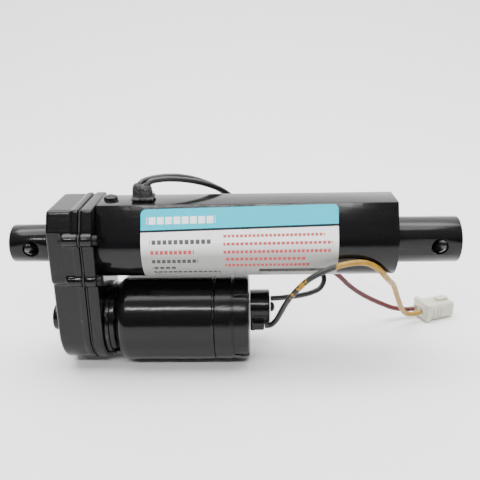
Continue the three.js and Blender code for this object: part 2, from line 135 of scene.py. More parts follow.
def mesh_object(name, points, faces):
    mesh = bpy.data.meshes.new(name)
    mesh.from_pydata([Vector(p) * MM for p in points], [], faces)
    edit = bmesh.new()
    edit.from_mesh(mesh)
    bmesh.ops.remove_doubles(edit, verts=edit.verts, dist=1e-7)
    bmesh.ops.recalc_face_normals(edit, faces=edit.faces)
    edit.to_mesh(mesh)
    edit.free()
    return new_object(name, mesh)


def revolve(name, profile, z=0.0, y=0.0, sides=ROUND):
    """A profile of (x, radius) points turned about a line along X.

    A profile that starts off the axis closes on itself.
    """
    closed = profile[0][1] > 0
    points, faces, count = [], [], len(profile)
    for i in range(sides):
        a = 2 * math.pi * i / sides
        points += [(x, y + r * math.cos(a), z + r * math.sin(a)) for x, r in profile]
    spans = count if closed else count - 1
    for i in range(sides):
        here, there = i * count, ((i + 1) % sides) * count
        for k in range(spans):
            n = (k + 1) % count
            faces.append((here + k, here + n, there + n, there + k))
    return mesh_object(name, points, faces)


def extrude_x(name, outline, x0, x1):
    """An outline of (y, z) points carried along X."""
    n = len(outline)
    points = [(x, y, z) for x in (x0, x1) for y, z in outline]
    faces = [(i, (i + 1) % n, n + (i + 1) % n, n + i) for i in range(n)]
    return mesh_object(name, points, faces + [tuple(range(n))[::-1], tuple(range(n, 2 * n))])


def box_part(name, low, high):
    (x0, y0, z0), (x1, y1, z1) = low, high
    return extrude_x(name, [(y0, z0), (y1, z0), (y1, z1), (y0, z1)], x0, x1)


def arc(r, a, b, steps, y=0.0, z=0.0):
    angles = [math.radians(a + (b - a) * i / steps) for i in range(steps + 1)]
    return [(y + r * math.cos(t), z + r * math.sin(t)) for t in angles]


def circle(r, y=0.0, z=0.0, sides=48):
    return arc(r, 0, 360, sides, y, z)[:-1]


def cross_bar(r, x, z, half):
    """A cylinder along Y, used as a cutter."""
    obj = extrude_x("cutter", circle(r, 0, 0, 64), -half, half)
    obj.data.transform(Matrix.Rotation(math.pi / 2, 4, "Z"))
    obj.data.transform(Matrix.Translation(Vector((x, 0, z)) * MM))
    return obj


def turn_about_x(obj, degrees, z):
    """Turns a shape about the X axis and then lifts it to height z."""
    obj.data.transform(Matrix.Translation((0, 0, z * MM)) @ Matrix.Rotation(math.radians(degrees), 4, "X"))
    return obj


def stand_up(obj, x, y, z):
    """Turns a shape made along X to point up, with its start at x, y, z."""
    obj.data.transform(Matrix.Rotation(-math.pi / 2, 4, "Y"))
    obj.data.transform(Matrix.Translation(Vector((x, y, z)) * MM))
    return obj


def combine(obj, other, operation):
    mod = obj.modifiers.new("combine", "BOOLEAN")
    mod.operation, mod.object, mod.solver = operation, other, "EXACT"
    apply_modifiers(obj)
    bpy.data.objects.remove(other)
    return obj


def cut(obj, *others):
    for other in others:
        combine(obj, other, "DIFFERENCE")
    return obj


def join(obj, *others):
    for other in others:
        combine(obj, other, "UNION")
    return obj


def soften(obj, width, segments=3, angle=32):
    mod = obj.modifiers.new("edges", "BEVEL")
    mod.width, mod.segments = width * MM, segments
    mod.limit_method, mod.angle_limit = "ANGLE", math.radians(angle)
    mod.use_clamp_overlap = True
    return apply_modifiers(obj)


def cast(obj, voxel=0.4, rounds=4):
    """Melts a built-up shape into one cast surface with small fillets."""
    mod = obj.modifiers.new("remesh", "REMESH")
    mod.mode, mod.voxel_size = "VOXEL", voxel * MM
    mod = obj.modifiers.new("smooth", "SMOOTH")
    mod.iterations, mod.factor = rounds, 0.5
    return apply_modifiers(obj)


def place(obj, name, body, slot, material, *replaced, sharp=38):
    obj.name = name
    obj.data.materials.clear()
    obj.data.materials.append(material)
    for face in obj.data.polygons:
        face.use_smooth = True
    obj.data.set_sharp_from_angle(angle=math.radians(sharp))
    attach(obj, body)
    if replaced:
        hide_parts(*replaced)
    return obj


# ---------- materials ----------


class Shader:
    """A node material, with short calls for the nodes used here."""

    def __init__(self, name):
        self.material = bpy.data.materials.new(name)
        self.material.use_nodes = True
        self.tree = self.material.node_tree
        self.surface = self.tree.nodes["Principled BSDF"]
        self.place = self.tree.nodes.new("ShaderNodeTexCoord").outputs["Object"]

    def node(self, kind, **inputs):
        made = self.tree.nodes.new(kind)
        for key, value in inputs.items():
            self.feed(made.inputs[key.replace("_", " ")], value)
        return made

    def feed(self, socket, value):
        if isinstance(value, bpy.types.NodeSocket):
            self.tree.links.new(value, socket)
        else:
            socket.default_value = value

    def set(self, **values):
        for key, value in values.items():
            self.feed(self.surface.inputs[key.replace("_", " ")], value)
        return self

    def noise(self, scale, detail=3.0, rough=0.55, vector=None):
        made = self.node("ShaderNodeTexNoise", Scale=scale, Detail=detail, Roughness=rough)
        self.feed(made.inputs["Vector"], vector or self.place)
        return made.outputs["Fac"]

    def stretched(self, scale):
        made = self.node("ShaderNodeMapping", Scale=scale)
        self.feed(made.inputs["Vector"], self.place)
        return made.outputs["Vector"]

    def ramp(self, value, *stops):
        made = self.node("ShaderNodeValToRGB", Fac=value)
        slots = made.color_ramp.elements
        while len(slots) < len(stops):
            slots.new(0.5)
        for slot, (at, color) in zip(slots, stops):
            slot.position = at
            slot.color = (color,) * 3 + (1,) if isinstance(color, (int, float)) else (*color, 1)
        return made.outputs["Color"]

    def mix(self, amount, a, b):
        made = self.tree.nodes.new("ShaderNodeMix")
        made.data_type = "RGBA"
        self.feed(made.inputs[0], amount)
        for socket, value in ((made.inputs[6], a), (made.inputs[7], b)):
            self.feed(socket, value if isinstance(value, bpy.types.NodeSocket) else (*value, 1))
        return made.outputs[2]

    def math(self, kind, a, b=0.0):
        made = self.tree.nodes.new("ShaderNodeMath")
        made.operation = kind
        self.feed(made.inputs[0], a)
        self.feed(made.inputs[1], b)
        return made.outputs[0]

    def bump(self, height, strength, distance):
        made = self.node("ShaderNodeBump", Strength=strength, Distance=distance * MM, Height=height)
        self.feed(self.surface.inputs["Normal"], made.outputs["Normal"])
        return self


def black_paint(name, grain=0.25, worn=0.5):
    """Sprayed gloss black: slight orange peel, dust specks, hairline scratches and thin worn edges."""
    s = Shader(name)
    peel = s.noise(260, 2)
    fine = s.noise(2600, 2)
    scratch = s.noise(55, 8, 0.7, s.stretched((1.0, 14.0, 14.0)))
    specks = s.ramp(s.noise(1500, 1), (0.74, 0.0), (0.80, 1.0))
    pointy = s.node("ShaderNodeNewGeometry").outputs["Pointiness"]
    rubbed = s.ramp(s.noise(320, 4), (0.5, 0.0), (0.62, worn))
    edge = s.math("MULTIPLY", s.ramp(pointy, (0.54, 0.0), (0.62, 1.0)), rubbed)
    color = s.mix(s.math("MULTIPLY", specks, 0.12), (0.004, 0.004, 0.0045), (0.2, 0.2, 0.2))
    color = s.mix(edge, color, (0.12, 0.12, 0.125))
    rough = s.ramp(scratch, (0.35, 0.1), (0.6, 0.16), (0.72, 0.36))
    s.set(Base_Color=color, Roughness=rough, Specular_IOR_Level=0.27)
    height = s.math("ADD", peel, s.math("MULTIPLY", fine, grain))
    return s.bump(height, 0.16, 0.25).material


def plain_metal(name, color, rough, brushed=(40.0, 900.0, 900.0)):
    s = Shader(name)
    marks = s.noise(1.0, 4, 0.6, s.stretched(brushed))
    tone = s.mix(s.ramp(marks, (0.3, 0.0), (0.75, 1.0)), color, tuple(c * 0.72 for c in color))
    dull = s.ramp(marks, (0.25, rough), (0.8, min(1.0, rough + 0.25)))
    s.set(Base_Color=tone, Roughness=dull, Metallic=1.0)
    return s.bump(marks, 0.2, 0.05).material


def plain_plastic(name, color, rough, scale=900.0, strength=0.3):
    s = Shader(name)
    grain = s.noise(scale, 5)
    pale = tuple(min(1.0, c * 1.35 + 0.004) for c in color)
    tone = s.mix(s.ramp(grain, (0.3, 0.0), (0.75, 1.0)), color, pale)
    s.set(Base_Color=tone, Roughness=s.ramp(grain, (0.3, rough * 0.85), (0.7, min(1.0, rough * 1.15))))
    return s.bump(grain, strength, 0.08).material


def overspray_rubber():
    """The strain relief: lumpy rubber under uneven paint."""
    s = Shader("overspray_rubber")
    lumps, fine = s.noise(650, 6, 0.65), s.noise(2600, 3)
    color = s.mix(s.ramp(lumps, (0.4, 0.0), (0.7, 1.0)), (0.009, 0.009, 0.01), (0.035, 0.035, 0.036))
    s.set(Base_Color=color, Roughness=s.ramp(lumps, (0.35, 0.22), (0.62, 0.6)))
    return s.bump(s.math("ADD", lumps, s.math("MULTIPLY", fine, 0.4)), 0.8, 0.5).material


def wire(name, color, dark, cover=None):
    """Vinyl insulation.

    cover is (x0, x1, stops): black overspray from x0 to x1 along X, in metres, where the stops give how bare
    the wire is along that stretch, from 0 to 1.
    """
    s = Shader(name)
    grime = s.noise(420, 5)
    tone = s.mix(s.ramp(grime, (0.42, 0.0), (0.7, 1.0)), color, dark)
    if cover:
        split = s.node("ShaderNodeSeparateXYZ", Vector=s.place)
        reach = s.node("ShaderNodeMapRange", Value=split.outputs["X"])
        for key, value in (("From Min", cover[0]), ("From Max", cover[1])):
            reach.inputs[key].default_value = value
        blotch = s.math("MULTIPLY", s.noise(520, 3), 0.9)
        along = s.ramp(reach.outputs["Result"], *cover[2])
        bare = s.ramp(s.math("ADD", along, blotch), (0.88, 0.0), (0.93, 1.0))
        tone = s.mix(bare, (0.009, 0.009, 0.009), tone)
    s.set(Base_Color=tone, Roughness=s.ramp(grime, (0.35, 0.3), (0.7, 0.5)))
    return s.bump(grime, 0.15, 0.06).material


def nylon():
    """Milky nylon that lets light through."""
    s = Shader("milky_nylon")
    cloud = s.noise(160, 4)
    tone = s.mix(s.ramp(cloud, (0.35, 0.0), (0.7, 1.0)), (0.66, 0.66, 0.55), (0.54, 0.54, 0.43))
    s.set(Base_Color=tone, Roughness=s.ramp(cloud, (0.3, 0.3), (0.7, 0.45)))
    s.surface.inputs["Subsurface Weight"].default_value = 0.55
    s.surface.inputs["Subsurface Scale"].default_value = 0.004
    s.surface.inputs["Subsurface Radius"].default_value = (1.0, 0.95, 0.7)
    s.surface.inputs["Transmission Weight"].default_value = 0.18
    return s.bump(cloud, 0.15, 0.1).material


# ---------- label printing: bars only, no lettering ----------

INK_ROWS = [
    # (left, right, top, bottom, ink, dash pitch), all as shares of the label
    (0.045, 0.36, 0.385, 0.44, "grey", 0.028),
    (0.045, 0.27, 0.515, 0.565, "red", 0.024),
    (0.045, 0.29, 0.635, 0.685, "grey", 0.026),
    (0.05, 0.18, 0.745, 0.785, "grey", 0.03),
    (0.055, 0.40, 0.835, 0.87, "grey", 0.026),
    (0.42, 0.93, 0.335, 0.37, "red", 0.021),
    (0.42, 0.97, 0.43, 0.465, "red", 0.023),
    (0.42, 0.96, 0.525, 0.565, "red", 0.022),
    (0.425, 0.84, 0.62, 0.66, "red", 0.024),
    (0.425, 0.86, 0.71, 0.75, "red", 0.021),
    (0.49, 0.98, 0.80, 0.865, "black", 0.6),
]
INKS = {"grey": (0.03, 0.03, 0.033), "red": (0.45, 0.03, 0.03), "black": (0.02, 0.02, 0.02)}
BAND_EDGE = 0.262


def label_film():
    s = Shader("label_film")
    uv = s.tree.nodes.new("ShaderNodeUVMap")
    uv.uv_map = "label"
    split = s.node("ShaderNodeSeparateXYZ", Vector=uv.outputs["UV"])
    u, v = split.outputs["X"], split.outputs["Y"]

    def between(value, low, high):
        return s.math("MULTIPLY", s.math("GREATER_THAN", value, low), s.math("LESS_THAN", value, high))

    scuff = s.noise(300, 6, 0.65)
    # painted shade: the film's colour goes from white to grey towards its lower edge, standing in for the
    # dark reflection on the cover's lower curve
    painted_shade = s.ramp(v, (0.42, (0.90, 0.90, 0.90)), (0.6, (0.33, 0.33, 0.315)), (1.0, (0.26, 0.26, 0.245)))
    color = s.mix(s.ramp(scuff, (0.55, 0.0), (0.85, 0.35)), painted_shade, (0.3, 0.3, 0.29))
    for left, right, top, bottom, ink, pitch in INK_ROWS:
        dash = s.math("LESS_THAN", s.math("FRACT", s.math("DIVIDE", u, pitch)), 0.72)
        area = s.math("MULTIPLY", between(u, left, right), between(v, top, bottom))
        color = s.mix(s.math("MULTIPLY", s.math("MULTIPLY", area, dash), 0.93), color, INKS[ink])
    slope = s.math("ADD", v, s.math("MULTIPLY", u, 0.03))
    band = s.math("LESS_THAN", slope, BAND_EDGE)
    line = between(slope, BAND_EDGE, BAND_EDGE + 0.028)
    color = s.mix(band, color, (0.0, 0.50, 0.64))
    title = s.math("MULTIPLY", between(u, 0.03, 0.38), between(v, 0.10, 0.19))
    dash = s.math("LESS_THAN", s.math("FRACT", s.math("DIVIDE", u, 0.042)), 0.8)
    color = s.mix(s.math("MULTIPLY", title, dash), color, (0.85, 0.9, 0.92))
    color = s.mix(line, color, (0.012, 0.016, 0.02))
    s.set(Base_Color=color, Roughness=s.ramp(scuff, (0.3, 0.24), (0.8, 0.4)), Specular_IOR_Level=0.25)
    return s.bump(scuff, 0.12, 0.05).material


# ---------- stage ----------


def make_stage():
    s = Shader("paper")
    grain = s.noise(30, 4)
    s.set(Base_Color=s.mix(grain, (0.86, 0.855, 0.855), (0.88, 0.875, 0.875)), Roughness=0.75)
    bend = 260.0
    far, tall, wide = -3500.0, 1500.0, 3500.0
    curve = [(far, FLOOR_Z)] + arc(bend, -90, 0, 24, WALL_Y - bend, FLOOR_Z + bend) + [(WALL_Y, tall)]
    n = len(curve)
    points = [(x, y, z) for x in (-wide, wide) for y, z in curve]
    sweep = mesh_object("backdrop", points, [(i, i + 1, n + i + 1, n + i) for i in range(n - 1)])
    for face in sweep.data.polygons:
        face.use_smooth = True
    sweep.data.materials.append(s.material)


def area_light(name, at, aim, size, power, color=(1, 1, 1)):
    light = bpy.data.lights.new(name, "AREA")
    light.shape, light.size, light.size_y = "RECTANGLE", size[0], size[1]
    light.energy, light.color = power, color
    obj = new_object(name, light)
    obj.location = Vector(at)
    obj.rotation_euler = (Vector(aim) - Vector(at)).to_track_quat("-Z", "Y").to_euler()
    return obj


def make_lights():
    target = (0.1, 0, -0.02)
    area_light("strip", (0.08, -0.62, 0.60), target, (0.8, 0.012), 5.2)
    area_light("overhead", (0.1, 0.1, 1.2), (0.1, 0.05, 0), (1.9, 1.1), 40)
    area_light("backdrop", (0.1, 0.2, 0.9), (0.1, 0.62, 0.15), (1.6, 0.3), 7)
    world = bpy.data.worlds.new("room")
    world.use_nodes = True
    bpy.context.scene.world = world
    tree = world.node_tree
    sky = tree.nodes.new("ShaderNodeTexCoord").outputs["Generated"]
    split = tree.nodes.new("ShaderNodeSeparateXYZ")
    tree.links.new(sky, split.inputs[0])
    ramp = tree.nodes.new("ShaderNodeValToRGB")
    tree.links.new(split.outputs["Z"], ramp.inputs["Fac"])
    for slot, (at, value) in zip(ramp.color_ramp.elements, ((0.2, 0.07), (0.85, 0.7))):
        slot.position, slot.color = at, (value, value, value * 1.02, 1)
    tree.links.new(ramp.outputs["Color"], tree.nodes["Background"].inputs["Color"])


# ---------- leads ----------

YELLOW_ROUTE = [
    (115.4, -9.6, -43.2), (118, -10, -42.6), (120.6, -11.8, -39.4), (122.8, -14.6, -33.8),
    (125.4, -17.6, -26.8), (128.2, -19.6, -21.4), (131.6, -20.4, -16.9), (136.2, -20.5, -12.4),
    (143, -20.4, -8.4), (150.7, -20.1, -5.4), (157.4, -19.7, -4.2), (163.6, -18.8, -4.8),
    (169.2, -17.9, -8), (174, -14, -14.1), (178, -7, -19.8), (181.2, -1.2, -24.4),
    (184.4, 5, -31.6), (187.6, 11, -39.4), (191.4, 18, -47.8), (195.8, 25.4, -55),
    (200.8, 30.8, -58.8), (206.1, 33.6, -59.2),
]
BLACK_ROUTE = [
    (54.4, 1.8, 29.5), (56, 3.8, 30.6), (60, 6, 31.4), (66, 8.4, 31.6), (72.6, 11.2, 30.8),
    (79.6, 14.4, 28.6), (86.4, 17.6, 25.2), (92.2, 20.6, 21.2), (98, 22.8, 16), (104.6, 24.2, 9.4),
    (114.4, 24.4, 1), (126, 24, -8.6), (138, 23.4, -17.6), (145.6, 21.8, -24.6), (148.2, 18.8, -30),
    (146, 15, -33.6), (140.8, 11, -34.6), (134.4, 6.8, -34.2), (128, 2.6, -32.9), (122.8, -0.6, -31.9),
    (118.8, -2, -31.4),
]
RED_ROUTE = [
    (58, 0.2, 29.1), (60, 1.5, 30.8), (66, 4.4, 31.2), (73.4, 7.6, 30.2), (80.8, 10.8, 28.2),
    (88.4, 14.2, 25), (94.2, 17.2, 21.4), (99.8, 19.4, 16.2), (107, 20.2, 9), (118, 20, -1.6),
    (133, 19.4, -12.6), (146.4, 19.2, -21.2), (156.4, 20.8, -29.2), (162.4, 23.4, -36), (168.6, 26.4, -42),
    (175.6, 29.4, -47.4), (183.2, 32.4, -52.4), (191, 35.2, -56.8), (198, 37.4, -59), (204.4, 38.5, -59.2),
]
LEAD_R = 1.4


def smooth_route(points, steps=8):
    """Points along a centripetal Catmull-Rom curve."""
    p = [Vector(q) for q in points]
    p = [2 * p[0] - p[1], *p, 2 * p[-1] - p[-2]]
    out = []
    for a, b, c, d in zip(p, p[1:], p[2:], p[3:]):
        t1 = (b - a).length ** 0.5
        t2 = t1 + (c - b).length ** 0.5
        t3 = t2 + (d - c).length ** 0.5
        for i in range(steps):
            t = t1 + (t2 - t1) * i / steps
            ab = a * (t1 - t) / t1 + b * t / t1
            bc = b * (t2 - t) / (t2 - t1) + c * (t - t1) / (t2 - t1)
            cd = c * (t3 - t) / (t3 - t2) + d * (t - t2) / (t3 - t2)
            abc = ab * (t2 - t) / t2 + bc * t / t2
            bcd = bc * (t3 - t) / (t3 - t1) + cd * (t - t1) / (t3 - t1)
            out.append(abc * (t2 - t) / (t2 - t1) + bcd * (t - t1) / (t2 - t1))
    return [*out, p[-2]]


def make_lead(name, node, route, material):
    points = [q * MM for q in smooth_route(route)]
    curve = bpy.data.curves.new(name, "CURVE")
    curve.dimensions, curve.bevel_depth, curve.bevel_resolution = "3D", LEAD_R * MM, 5
    curve.use_fill_caps = True
    spline = curve.splines.new("POLY")
    spline.points.add(len(points) - 1)
    for knot, q in zip(spline.points, points):
        knot.co = (*q, 1)
    spline.use_smooth = True
    obj = new_object(name, curve)
    curve.materials.append(material)
    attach(obj, "housing")
    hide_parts(node)


# ---------- connector ----------

PLUG_TURN = math.radians(20)
PLUG_AT = Vector((216.6, 40.2, 0)) * MM
PLUG_LONG, PLUG_HALF, PLUG_LOW_Z, PLUG_TOP_Z = 21.0, 6.2, -64.6, -54.6


def make_connector(material):
    back, front = -PLUG_LONG / 2, PLUG_LONG / 2
    body = soften(box_part("plug", (back, -PLUG_HALF, PLUG_LOW_Z), (front, PLUG_HALF, PLUG_TOP_Z)), 2.4, 4)
    collar = soften(box_part("c", (back + 1, -PLUG_HALF - 0.9, PLUG_LOW_Z + 0.1),
                             (back + 4, PLUG_HALF + 0.9, PLUG_TOP_Z + 0.9)), 0.5, 2)
    latch = soften(box_part("c", (0.6, -2, PLUG_TOP_Z - 0.6), (8, 2, PLUG_TOP_Z + 1.5)), 0.5, 2)
    reach, low, high = PLUG_HALF + 0.55, PLUG_LOW_Z + 2, PLUG_TOP_Z - 2
    ribs = [soften(box_part("c", (x, -reach, low), (x + 1.1, reach, high)), 0.3, 2)
            for x in (-4.2, -1.8, 0.6)]
    join(body, collar, latch, *ribs)
    for y in (-2.7, 2.7):
        socket = box_part("c", (front - 9, y - 2, -63), (front + 1, y + 2, -55.8))
        port = extrude_x("c", circle(1.7, y, -59.2, 32), back - 1, front - 8)
        cut(body, soften(socket, 0.5, 2), port)
    body.data.transform(Matrix.Translation(PLUG_AT) @ Matrix.Rotation(PLUG_TURN, 4, "Z"))
    return place(body, "nylon_connector", "housing", "nylon", material, "connector_housing")


# ---------- tubes ----------


def make_tube(name, node, body, x0, x1, r, wall, hole_x, material):
    edge = 0.5
    tube = revolve(name, [(x0, r - wall + edge), (x0, r - edge), (x0 + 0.15, r - 0.15), (x0 + edge, r),
                          (x1 - edge, r), (x1 - 0.15, r - 0.15), (x1, r - edge), (x1, r - wall + edge),
                          (x1 - edge, r - wall), (x0 + edge, r - wall)])
    cut(tube, cross_bar(PIN_R, hole_x, 0, r + 5))
    soften(tube, 0.3, 2, 50)
    return place(tube, name, body, "black_paint", material, node)


# ---------- gear housing ----------

SCREW_PLACES = [(s * y, z) for y, z in ((19.4, 8.5), (19.2, -12.4), (12.4, MOTOR_Z - 11)) for s in (-1, 1)]


def housing_outline(d=0.0):
    foot = arc(20.6 + d, 8, -188, 64, 0, MOTOR_Z)
    side = [(14.7 + d, 21.7 + d), (19.4 + d, 12.5), (20.9 + d, -13), (18.9 + d, -14.8)]
    return [*side, *foot, *[(-y, z) for y, z in reversed(side)]]


def make_housing(material, rough_paint):
    x0, x1 = CASTING_LOW.x, CASTING_HIGH.x
    shell = extrude_x("casting", housing_outline(), x0, x1)
    soften(shell, 1.6, 4, 24)
    ears = [soften(extrude_x("ear", circle(3.1, y, z, 32), 20, x1), 0.5, 2) for y, z in SCREW_PLACES]
    lip = soften(extrude_x("lip", housing_outline(0.4), x1 - 3.2, x1), 0.5, 2, 24)
    join(shell, lip, *ears)
    seat = soften(extrude_x("seat", circle(11.4, 0, 0, 64), x0 - 0.05, x0 + 2), 0.3, 2)
    join(shell, seat)
    cut(shell, extrude_x("room", circle(17.2, 0, 0, 64), x0 + 3, x1 + 1),
        extrude_x("room", circle(15.4, 0, -23, 64), x0 + 3.05, x1 + 1.1))
    cast(shell, 0.42, 3)
    place(shell, "gear_casting", "housing", "black_paint", material, "gear_housing_cover")

    x0, x1 = BASE_LOW.x, BASE_HIGH.x
    base = soften(extrude_x("base", housing_outline(0.5), x0, x1), 0.9, 3, 24)
    ears = [soften(extrude_x("ear", circle(3.2, y, z, 32), x0, x1), 0.5, 2) for y, z in SCREW_PLACES]
    join(base, *ears)
    cut(base, extrude_x("seat", circle(9.3, 0, 0, 64), x0 - 1, x1 + 1),
        extrude_x("seat", circle(SHAFT_HOLE_R, 0, MOTOR_Z, 48), x0 - 1.1, x1 + 1.1))
    cast(base, 0.4, 3)
    place(base, "gear_base", "housing", "black_paint", rough_paint, "gear_housing_base")

    x0, x1, r = DISC_LOW.x, DISC_HIGH.x, (DISC_HIGH.y - DISC_LOW.y) / 2
    disc = revolve("disc", [(x0, 0), (x0, r - 0.7), (x0 + 0.2, r - 0.2), (x0 + 0.7, r), (x0 + 4, r),
                            (x0 + 4.2, r - 0.4), (x1, r - 0.4), (x1, 0)], MOTOR_Z)
    for degrees in (0, 60, 120):
        groove = box_part("groove", (x0 - 1, -r + 2.4, -0.55), (x0 + 0.7, r - 2.4, 0.55))
        cut(disc, turn_about_x(groove, degrees, MOTOR_Z))
    place(disc, "axis_plug", "housing", "black_paint", material, "motor_axis_plug")


# ---------- cover ----------


def flare_degrees():
    far = math.hypot(COVER_TOP_HALF, COVER_HIGH.z)
    up = math.atan2(COVER_HIGH.z, COVER_TOP_HALF)
    return math.degrees(up - math.acos(COVER_R / far))


def cover_outline():
    flare, top = flare_degrees(), COVER_HIGH.z
    return [(COVER_TOP_HALF, top), *arc(COVER_R, flare, -180 - flare, 96), (-COVER_TOP_HALF, top)]


def make_cover(material, rough_paint):
    tube = extrude_x("cover", cover_outline(), COVER_LOW.x, COVER_HIGH.x)
    cut(tube, extrude_x("bore", circle(COVER_BORE_R, 0, 0, 96), COVER_LOW.x - 1, COVER_HIGH.x + 1))
    soften(tube, 0.45, 3, 30)
    place(tube, "cover_shell", "housing", "black_paint", material, "cover_tube", sharp=30)
    low, high = corner("cover_top_screw")
    y, z, r = (low.y + high.y) / 2, low.z, (high.x - low.x) / 2
    head = revolve("head", [(0, 0), (0, r), (0.9, r), (1.4, r - 0.5), (1.8, r - 1.6), (1.8, 0)], 0, 0, 64)
    stand_up(head, (low.x + high.x) / 2, y, z)
    cut(head, soften(box_part("slot", (38.9, y - 2.4, z + 1.2), (40.2, y + 2.4, z + 3)), 0.2, 2))
    place(head, "top_screw_head", "housing", "black_paint", rough_paint, "cover_top_screw")


def make_label(material):
    """A thin printed film on the label side, with rounded corners and a small tilt."""
    flare = math.radians(flare_degrees())
    low_z = LABEL_LOW.z + 0.25
    long, out, thick, tilt = LABEL_HIGH.x - LABEL_LOW.x - 0.8, 0.14, 0.18, 0.019
    edge = Vector((-COVER_TOP_HALF, COVER_HIGH.z))
    tangent = Vector((-COVER_R * math.cos(flare), COVER_R * math.sin(flare)))
    straight = (tangent - edge).length
    bend_end = math.asin(-low_z / COVER_R)
    total = straight + COVER_R * (flare + bend_end) - 0.5

    def at(distance, height):
        if distance < straight:
            p = edge.lerp(tangent, distance / straight)
            n = tangent.normalized()
        else:
            a = math.pi - flare + (distance - straight) / COVER_R
            n = Vector((math.cos(a), math.sin(a)))
            p = n * COVER_R
        return p + n * (out + height)

    corner_r, across, down = 2.6, 150, 60

    def inset(v):
        near = min(v, 1 - v) * total
        return 0 if near >= corner_r else corner_r - math.sqrt(max(0, corner_r**2 - (corner_r - near) ** 2))

    points, faces, uvs = [], [], []
    for height in (thick, 0):
        for j in range(down + 1):
            v = 0.5 - 0.5 * math.cos(math.pi * j / down)
            for i in range(across + 1):
                u = i / across
                side = inset(v)
                x = side + (long - 2 * side) * u
                s = 1.4 + v * (total - 1.4) + (0.5 - x / long) * long * tilt * (1 - v) * 0.9
                y, z = at(s, height)
                points.append((LABEL_LOW.x + 0.5 + x - v * 0.2, y, z))
                uvs.append((x / long, v))
    row, sheet = across + 1, (across + 1) * (down + 1)
    for j in range(down):
        for i in range(across):
            a = j * row + i
            faces.append((a, a + 1, a + row + 1, a + row))
            faces.append((sheet + a, sheet + a + row, sheet + a + row + 1, sheet + a + 1))
    rim = list(range(across)) + [j * row + across for j in range(down)]
    rim += [down * row + i for i in range(across, 0, -1)] + [j * row for j in range(down, 0, -1)]
    faces += [(b, a, a + sheet, b + sheet) for a, b in zip(rim, rim[1:] + rim[:1])]
    mesh = bpy.data.meshes.new("label")
    mesh.from_pydata([Vector(p) * MM for p in points], [], faces)
    layer = mesh.uv_layers.new(name="label")
    for loop in mesh.loops:
        layer.data[loop.index].uv = uvs[loop.vertex_index % sheet]
    edit = bmesh.new()
    edit.from_mesh(mesh)
    bmesh.ops.recalc_face_normals(edit, faces=edit.faces)
    edit.to_mesh(mesh)
    edit.free()
    place(new_object("label", mesh), "printed_label", "housing", "label_film", material, "rating_label")


# ---------- motor ----------


def make_motor(material, rough_paint):
    x0, x1, r = CAN_LOW.x, CAN_HIGH.x, MOTOR_R
    bend_r = 6.5
    bend = arc(bend_r, 180, 90, 14, x0 + bend_r, r - bend_r)
    seam = 1.0
    profile = [(x0, 7), *bend, (x1 - seam, r), (x1 - seam + 0.3, r - 0.25), (x1, r - 0.3), (x1, r - 1.8),
               (x0 + 7, r - 1.8), (x0 + 3, 15), (x0 + 3, 7)]
    place(revolve("can", profile, MOTOR_Z), "motor_shell", "housing", "black_paint", material, "motor_can")

    x0, x1, r = CAP_LOW.x, CAP_HIGH.x, MOTOR_R - 0.1
    cap = revolve("cap", [(x0, r - 1.7), (x0, r - 0.35), (x0 + 0.35, r), (x0 + 8.5, r),
                          (x0 + 8.8, r - 0.35), (x0 + 9.4, r - 0.35), (x0 + 9.7, r), (x1 - 1.6, r),
                          (x1 - 0.5, r - 0.5), (x1, r - 1.6), (x1, 0), (x1 - 2.6, 0),
                          (x1 - 2.6, r - 1.7)], MOTOR_Z)
    for degrees in (35, 126, 215, 306):
        notch = box_part("notch", (x1 - 7.5, -1.4, r - 1.2), (x1 + 1, 1.4, r + 2))
        cut(cap, turn_about_x(notch, degrees, MOTOR_Z))
    soften(cap, 0.25, 2, 40)
    place(cap, "motor_cap", "housing", "black_paint", rough_paint, "motor_end_cap")

    x0, x1, r = PLATE_LOW.x, PLATE_HIGH.x, (PLATE_HIGH.z - PLATE_LOW.z) / 2
    plate = revolve("plate", [(x0, SHAFT_HOLE_R), (x0, r - 0.4), (x0 + 0.4, r), (x0 + 2, r),
                              (x0 + 2.4, r - 0.8), (x1 - 0.4, r - 0.8), (x1, r - 1.2),
                              (x1, SHAFT_HOLE_R)], MOTOR_Z)
    for y, z in SCREW_PLACES[4:]:
        cut(plate, extrude_x("notch", circle(3.2, y, z, 40), x0 - 1, x1 + 1))
    place(plate, "motor_plate", "housing", "black_paint", rough_paint, "motor_front_plate")


def make_boss(material):
    x0, x1, z = BOSS_LOW.x, BOSS_HIGH.x, MOTOR_Z + BOSS_RISE
    boss = revolve("boss", [(x0, 0), (x0, BOSS_R), (x1 - 0.8, BOSS_R), (x1 - 0.2, 8.9), (x1, 8.3), (x1, 0)],
                   z, 0, 96)
    lug = soften(box_part("lug", (x0, -10.8, MOTOR_Z - 3.6), (x0 + 7.2, -5.4, MOTOR_Z + 2.4)), 0.9, 3)
    join(boss, lug)
    for degrees in range(96, 172, 12):
        groove = box_part("groove", (x0 + 1.6, -0.5, 8.5), (x1 - 1.2, 0.5, 12))
        cut(boss, turn_about_x(groove, degrees, z))
    cut(boss, box_part("flat", (x0 + 2, -12, z - 10.2), (x1 + 1, 12, z - 8)))
    cast(boss, 0.25, 3)
    place(boss, "lead_boss", "housing", "black_paint", material, "motor_lead_boss")

    x0, x1, r = DOME_LOW.x, DOME_HIGH.x, (DOME_HIGH.y - DOME_LOW.y) / 2
    brim, steps = 0.6, 10
    turns = [math.pi / 2 * i / steps for i in range(steps)]
    bulge = [(x0 + brim + (x1 - x0 - brim) * math.sin(t), r * math.cos(t)) for t in turns]
    dome = revolve("dome", [(x0, 0), (x0, r), *bulge, (x1, 0)], z, 0, 64)
    place(dome, "boss_dome", "housing", "black_paint", material, "boss_cap")


RELIEF_LOBES = [(53.9, 1.5, 3.0, 29.3), (57.4, 0.3, 3.3, 28.7)]  # (x, y, radius, top)
LUMP_SIZE, LUMP_HEIGHT = 0.0011, 0.0009  # metres


